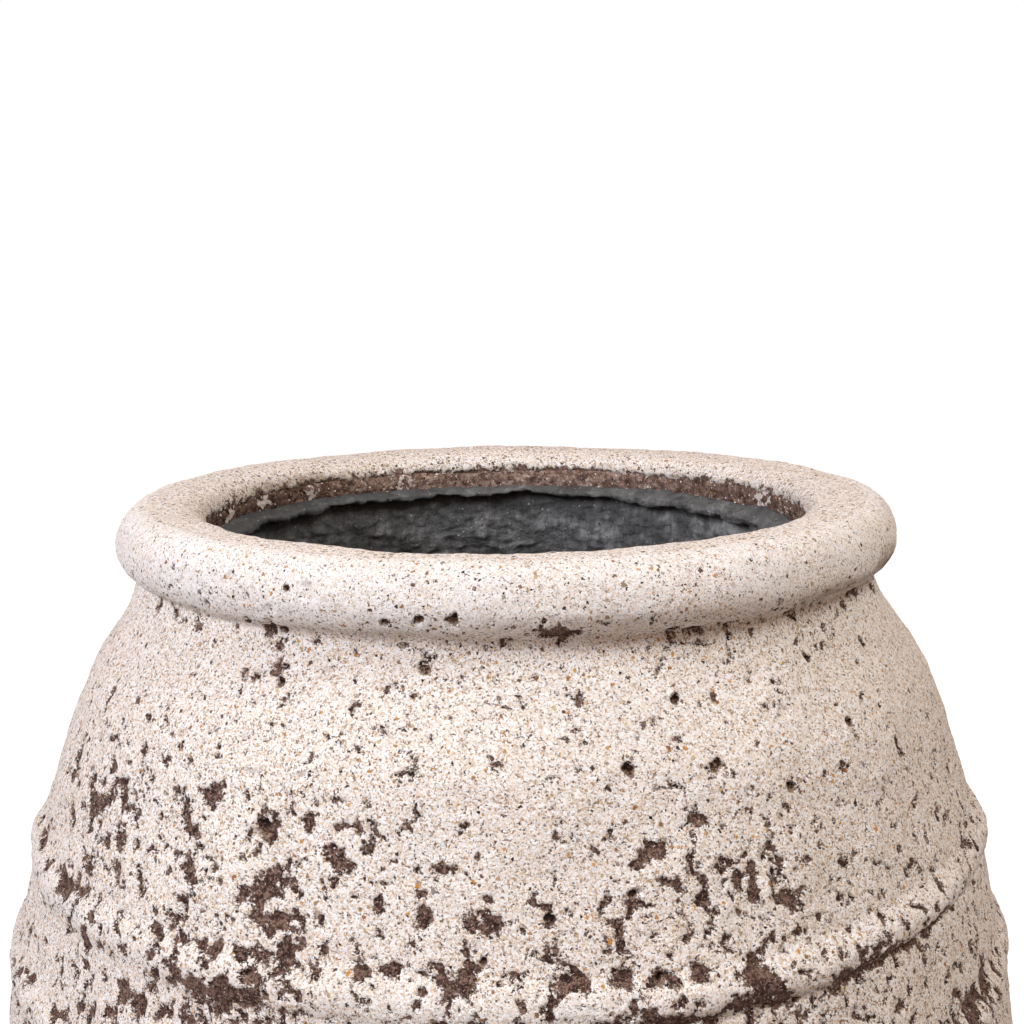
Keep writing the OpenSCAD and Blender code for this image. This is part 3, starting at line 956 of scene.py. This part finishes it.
def gritted(tree, shaken, gritty, ground):
    """Grit of three sizes over the coat, and the gravel that the trowel dragged into the mouth and under
    the brow, with a brown wash where it lies thickest. Gives the ground and the masks of the finest grit
    and of the largest stones."""
    ground, fine = scatter(
        tree, shaken, ground, cell=1.4, share=0.72, smallest=0.12, biggest=0.3,
        codes=("#c3a27c", "#a78462", "#80624c", "#c5b2a1", "#d2bb9c", "#624c40"))
    ground, _ = scatter(
        tree, shaken, ground, cell=3.6, share=0.72, smallest=0.1, biggest=0.28,
        codes=("#c6914f", "#b18a5c", "#8b6c50", "#bfa27e", "#a3948a", "#6e5443", "#cf9a56"))
    ground, stones = scatter(
        tree, shaken, ground, cell=7.7, share=0.6, smallest=0.08, biggest=0.17,
        codes=("#c98a44", "#a0683a", "#5a463a", "#d3b88c", "#33261f", "#958b83"))
    ground, _ = scatter(
        tree, shaken, ground, cell=3.6, share=gritty, smallest=0.14, biggest=0.34,
        codes=("#b79c78", "#8d7a63", "#a08a70", "#6b5646", "#c0a98c", "#93714c", "#4a3a30"))
    dirt = add(tree, "TexNoise", {"Vector": shaken, "Scale": per(6), "Detail": 4, "Roughness": 0.75})
    soiled = add(tree, "Math", {0: dirt, 1: 2, 2: gritty})
    wash = add(tree, "MapRange", {"Value": soiled, FROM_LOW: 2.1, FROM_HIGH: 2.9, TO_HIGH: 0.75})
    ground = add(tree, "Mix", {"Factor": wash, MIX_UNDER: ground, MIX_OVER: linear("#856b4f")})
    return ground, fine, stones


def fired_grains(tree, place, shaken):
    """How hard each grain of the clay was burnt in the kiln, with the dirt that darkens it in clouds."""
    grains = add(tree, "TexVoronoi", {"Vector": shaken, "Scale": per(0.95)})
    dice = add(tree, "SeparateColor", {"Color": grains.outputs["Color"]})
    dirt = add(tree, "TexNoise", {"Vector": place, "Scale": per(5), "Detail": 3})
    return add(tree, "Math", {0: dice.outputs["Red"], 1: 0.6, 2: dirt})


def bared_clay(tree, shaken, fray, fired, worn, mouth, ground):
    """Brown clay with its own grit where the coat is worn through along a ragged, stippled edge.
    Gives the ground and the mask of the bare clay."""
    frayed = add(tree, "Math", {0: fray, 1: 5, 2: worn})
    bare = add(tree, "MapRange", {"Value": frayed, FROM_LOW: 2.5, FROM_HIGH: 2.58})
    tone_level = add(tree, "Math", {0: mouth, 1: 0.25, 2: fired})
    clay = add(tree, "ValToRGB", {"Fac": tone_level}, (
        (0.42, "#201310"), (0.65, "#412b24"), (0.85, "#5e453b"), (1, "#8a6f60")))
    clay, _ = scatter(
        tree, shaken, clay, cell=1.5, share=0.4, smallest=0.1, biggest=0.27,
        codes=("#d8c6b2", "#b0937b", "#8d7360", "#e8dccd"))
    ground = add(tree, "Mix", {"Factor": bare, MIX_UNDER: ground, MIX_OVER: clay})
    return ground, bare


def pits_with_painted_shade(tree, fray, fired, pit, pit_up, ground):
    """The same clay in the pits, with painted shade: darker under their upper edge, paler on their lower
    wall.
    """
    ragged = add(tree, "Math", {0: fray, 1: 1.5, 2: pit})
    sunken = add(tree, "MapRange", {"Value": ragged, FROM_LOW: 0.78, FROM_HIGH: 0.83})
    # Painted shade: the tint darkens towards the pit's upper edge and pales on its lower wall
    painted_pit_shade = add(tree, "Math", {0: pit_up, 1: -0.4, 2: fired})
    tint = add(tree, "ValToRGB", {"Fac": painted_pit_shade}, (
        (0.4, "#1c110d"), (0.65, "#432d25"), (0.85, "#705647"), (1, "#a98f7b")))
    return add(tree, "Mix", {"Factor": sunken, MIX_UNDER: ground, MIX_OVER: tint})


def sand_lime_coat():
    """Sand-and-lime render, trowelled on thick and rubbed back: a chalky matt ground crowded with
    fine sand, amber and grey grit, black specks that are partly painted shade, pinholes painted near
    black as painted shade, and brown clay where it has worn off."""
    material, tree, place, worn, pit, pit_up, rubbed, gritty, mouth = new_material(
        "sand_lime_coat", "worn", "pit", "pit_up", "rubbed", "gritty", "mouth")
    jitter = add(tree, "TexNoise", {"Vector": place, "Scale": per(1.4), "Detail": 2})
    shaken = add(tree, "VectorMath", {0: jitter.outputs["Color"], 1: (0.0028,) * 3, 2: place},
                 operation="MULTIPLY_ADD")
    ground, off_grain = chalk_and_sand(tree, place, shaken, rubbed)
    ground, grit, stones = gritted(tree, shaken, gritty, ground)

    # Dark specks, partly dark grains and partly painted shade of pinholes, thicker where the coat is thin;
    # then pinholes painted near black as painted shade
    thin = add(tree, "MapRange", {
        "Value": worn, FROM_LOW: -1.8, FROM_HIGH: -0.2, TO_LOW: 0.4, TO_HIGH: 0.62})
    ground, specks = scatter(
        tree, shaken, ground, cell=1.7, share=thin, smallest=0.12, biggest=0.31,
        codes=("#1f1613", "#3a2c24", "#5d4a3c", "#2a1f1a", "#77604e"))
    ground, painted_pinhole_shade = scatter(
        tree, shaken, ground, cell=6, share=0.7, smallest=0.05, biggest=0.12, codes=("#211814", "#31241e"))
    fray = add(tree, "TexNoise", {"Vector": place, "Scale": per(1.6), "Detail": 3, "Roughness": 0.75})
    fired = fired_grains(tree, place, shaken)
    ground, bare = bared_clay(tree, shaken, fray, fired, worn, mouth, ground)
    ground = pits_with_painted_shade(tree, fray, fired, pit, pit_up, ground)

    # Grain that stands up, then specks, pinholes and worn places that go down
    height = add(tree, "TexNoise", {"Vector": place, "Scale": per(1), "Detail": 3, "Roughness": 0.7})
    for mask, rise in ((off_grain, -0.4), (grit, 0.25), (specks, -0.7), (painted_pinhole_shade, -1), (bare, -1)):
        height = add(tree, "Math", {0: mask, 1: rise, 2: height})
    bump = add(tree, "Bump", {"Height": height, "Strength": 1, "Distance": MM})
    dull = add(tree, "MapRange", {"Value": stones, TO_LOW: 0.92, TO_HIGH: 0.6})
    return finished(material, {
        "Base Color": ground, "Roughness": dull, "IOR": 1.5, "Specular IOR Level": 0.25, "Normal": bump})


def coarse_clay():
    """Grogged stoneware clay, burnt in the kiln and left bare: dark brown, matt and gritty, with pale grog
    and, in the mouth, smears of lime that the trowel left, and painted shade and light round the band."""
    material, tree, place, smear, fired = new_material("coarse_clay", "smear", "fired")
    clouds = add(tree, "TexNoise", {"Vector": place, "Scale": per(6), "Detail": 5, "Roughness": 0.7})
    # Clouds of the clay's tone, shifted round the band by painted shade and light
    tone_level = add(tree, "Math", {0: clouds, 1: fired}, operation="ADD")
    body = add(tree, "ValToRGB", {"Fac": tone_level}, (
        (0.32, "#33231c"), (0.5, "#775d50"), (0.68, "#b39a8a")))
    body, grog = scatter(
        tree, place, body, cell=2.3, share=0.7, smallest=0.14, biggest=0.36,
        codes=("#b7a294", "#d9cabc", "#86654b", "#2a1d17", "#c08f5c", "#eee4da"))
    body, specks = scatter(
        tree, place, body, cell=1.3, share=0.5, smallest=0.16, biggest=0.38,
        codes=("#221712", "#bdaa9d", "#3c2b23"))
    limed = add(tree, "MapRange", {"Value": smear, FROM_LOW: 0.02, FROM_HIGH: 0.2})
    body = add(tree, "Mix", {"Factor": limed, MIX_UNDER: body, MIX_OVER: linear("#ddd0c6")})
    tooth = add(tree, "TexNoise", {"Vector": place, "Scale": per(1.6), "Detail": 3, "Roughness": 0.7})
    raised = add(tree, "Math", {0: grog, 1: 0.4, 2: tooth})
    bump = add(tree, "Bump", {"Height": raised, "Strength": 0.9, "Distance": 0.9 * MM})
    dull = add(tree, "MapRange", {"Value": specks, TO_LOW: 0.9, TO_HIGH: 0.75})
    return finished(material, {
        "Base Color": body, "Roughness": dull, "IOR": 1.5, "Specular IOR Level": 0.25, "Normal": bump})


def brushed_tar_paint():
    """Bituminous waterproof paint, brushed on thick: slate grey with a low satin sheen, brush
    streaks, dust on its high spots, dark specks of grit and pale ones painted as glints, and painted shade
    and light round the jar and on the bead."""
    material, tree, place, dusty = new_material("brushed_tar_paint", "dusty")
    strokes_at = add(tree, "Mapping", {"Vector": place, "Scale": (1, 1, 0.18)})
    strokes = add(tree, "TexNoise", {
        "Vector": strokes_at, "Scale": per(4), "Detail": 4, "Roughness": 0.65})
    dust = add(tree, "TexNoise", {"Vector": place, "Scale": per(18), "Detail": 4, "Roughness": 0.6})
    mixed = add(tree, "Math", {0: strokes, 1: 0.55, 2: dust})
    # The brush streaks and dust, shifted by the painted shade and light kept at the lining's points
    weathered_and_shaded = add(tree, "Math", {0: mixed, 1: dusty}, operation="ADD")
    paint = add(tree, "ValToRGB", {"Fac": weathered_and_shaded}, (
        (0.55, "#434240"), (0.78, "#646260"), (0.98, "#9a9895")))
    # Dark grit in the paint, and pale grains that are painted highlights standing for glints
    paint, nibs_and_painted_glints = scatter(
        tree, place, paint, cell=3.4, share=0.6, smallest=0.07, biggest=0.2,
        codes=("#b4b3b0", "#2c2b2a", "#9b9a97"))
    tooth = add(tree, "TexNoise", {"Vector": place, "Scale": per(2.6), "Detail": 4, "Roughness": 0.7})
    ridged = add(tree, "Math", {0: strokes, 1: 0.5, 2: tooth})
    raised = add(tree, "Math", {0: nibs_and_painted_glints, 1: 0.5, 2: ridged})
    bump = add(tree, "Bump", {"Height": raised, "Strength": 1, "Distance": 2.4 * MM})
    satin = add(tree, "MapRange", {
        "Value": dust, FROM_LOW: 0.35, FROM_HIGH: 0.65, TO_LOW: 0.42, TO_HIGH: 0.68})
    return finished(material, {
        "Base Color": paint, "Roughness": satin, "IOR": 1.52, "Specular IOR Level": 0.45, "Normal": bump})


def moulded_rubber():
    """Black moulded rubber with a fine spark-eroded skin: deep grey, dull, with dust in its low places."""
    material, tree, place = new_material("moulded_rubber")
    dust = add(tree, "TexNoise", {"Vector": place, "Scale": per(14), "Detail": 4})
    skin = add(tree, "ValToRGB", {"Fac": dust}, ((0.35, "#232324"), (0.6, "#2f2f31"), (0.78, "#4b4845")))
    # The mould's real grain is about 0.1 mm and is drawn at 0.5 mm so that it shows
    grain = add(tree, "TexNoise", {"Vector": place, "Scale": per(0.5), "Detail": 2})
    bump = add(tree, "Bump", {"Height": grain, "Strength": 0.4, "Distance": 0.1 * MM})
    dull = add(tree, "MapRange", {
        "Value": dust, FROM_LOW: 0.3, FROM_HIGH: 0.7, TO_LOW: 0.5, TO_HIGH: 0.75})
    return finished(material, {
        "Base Color": skin, "Roughness": dull, "IOR": 1.52, "Normal": bump})


# Studio

def seen_directly(tree):
    """One for rays from the camera, and for those it sees in gloss or through glass."""
    path = add(tree, "LightPath").outputs
    seen = add(tree, "Math", {0: path["Is Camera Ray"], 1: path["Is Glossy Ray"]}, operation="MAXIMUM")
    return add(tree, "Math", {0: seen, 1: path["Is Transmission Ray"]}, operation="MAXIMUM")


AMBIENT = 0.3


def white_world():
    """Even soft light from all round, and a white background behind the jar."""
    world = bpy.data.worlds.new("white_studio")
    bpy.context.scene.world = world
    world.use_nodes = True
    tree = world.node_tree
    tree.nodes.clear()
    soft = add(tree, "Background", {"Color": linear("#ffc49a"), "Strength": AMBIENT})
    white = add(tree, "Background", {"Color": linear("#ffffff"), "Strength": 1})
    both = add(tree, "MixShader", {0: seen_directly(tree), 1: soft, 2: white})
    add(tree, "OutputWorld", {"Surface": both})


FLOOR_HALF = 6000


def pale_floor():
    """Matt white board that runs on into the background and keeps the jar's shadow."""
    corners = np.array([(x, y, 0) for x, y in ((-1, -1), (1, -1), (1, 1), (-1, 1))]) * FLOOR_HALF
    board = mesh_object("studio_floor", corners, np.array([[0, 1, 2, 3]]))
    material, tree, place = new_material("white_board")
    grain = add(tree, "TexNoise", {"Vector": place, "Scale": per(3)})
    tint = add(tree, "ValToRGB", {"Fac": grain}, ((0.3, "#a2a2a2"), (0.7, "#a6a6a6")))
    plain = add(tree, "BsdfDiffuse", {"Color": tint})
    shade = add(tree, "BsdfDiffuse", {"Color": linear("#8f8f8f")})
    away = add(tree, "VectorMath", {0: place}, operation="LENGTH").outputs["Value"]
    fade = add(tree, "MapRange", {
        "Value": away, FROM_LOW: 0.5, FROM_HIGH: 0.76, TO_LOW: 0.76, TO_HIGH: 1})
    glow = add(tree, "Emission", {"Color": linear("#ffffff"), "Strength": fade})
    bright = add(tree, "AddShader", {0: shade, 1: glow})
    both = add(tree, "MixShader", {0: seen_directly(tree), 1: plain, 2: bright})
    add(tree, "OutputMaterial", {"Surface": both})
    board.data.materials.append(material)


def aim(thing, place, at):
    """Puts a lamp at a place and turns it to face a point, both in mm."""
    thing.location = Vector(place) * MM
    thing.rotation_euler = (Vector(at) - Vector(place)).to_track_quat("-Z", "Y").to_euler()


# Soft lamps: name, place, point they face, width, power in watts and colour
LAMPS = (
    ("left_softbox", (-1430, -1200, 1666), (0, 0, 500), 1000, 47.5, "#e9f1ff"),
    ("right_softbox", (1038, -871, 2234), (0, 0, 500), 1000, 30.5, "#f6fcff"),
)


def soft_lamps():
    for name, place, at, width, power, code in LAMPS:
        light = bpy.data.lights.new(name, "AREA")
        light.shape = "DISK"
        light.size = width * MM
        light.energy = power
        light.color = linear(code)[:3]
        lamp = bpy.data.objects.new(name, light)
        bpy.context.scene.collection.objects.link(lamp)
        aim(lamp, place, at)


# The photograph's view: eye in mm, pitch down in degrees, lens on a full-width sensor
EYE = (1.2, -888.1, 777.1)
PITCH = 9.63
LENS, SENSOR = 52.04, 36


def photo_camera():
    lens = bpy.data.cameras.new("photo_view")
    lens.lens, lens.sensor_width = LENS, SENSOR
    lens.clip_start, lens.clip_end = 0.01, 50
    camera = bpy.data.objects.new("photo_view", lens)
    bpy.context.scene.collection.objects.link(camera)
    camera.location = [side * MM for side in EYE]
    camera.rotation_euler = (math.radians(90 - PITCH), 0, 0)
    bpy.context.scene.camera = camera


# Making

photo_camera()
clay = coarse_clay()
paint = brushed_tar_paint()
coat_skins(sand_lime_coat())
clay_neck(clay)
lining_wall(paint)
lining_floor(paint)
foot(clay)
bung(moulded_rubber())
for bare_node in ("base_slab", "wall_course_1", "wall_course_2", "wall_course_3", "wall_course_4"):
    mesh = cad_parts[bare_node].data
    mesh.materials.clear()
    mesh.materials.append(clay)
white_world()
pale_floor()
soft_lamps()
bpy.context.scene.view_settings.view_transform = "Standard"
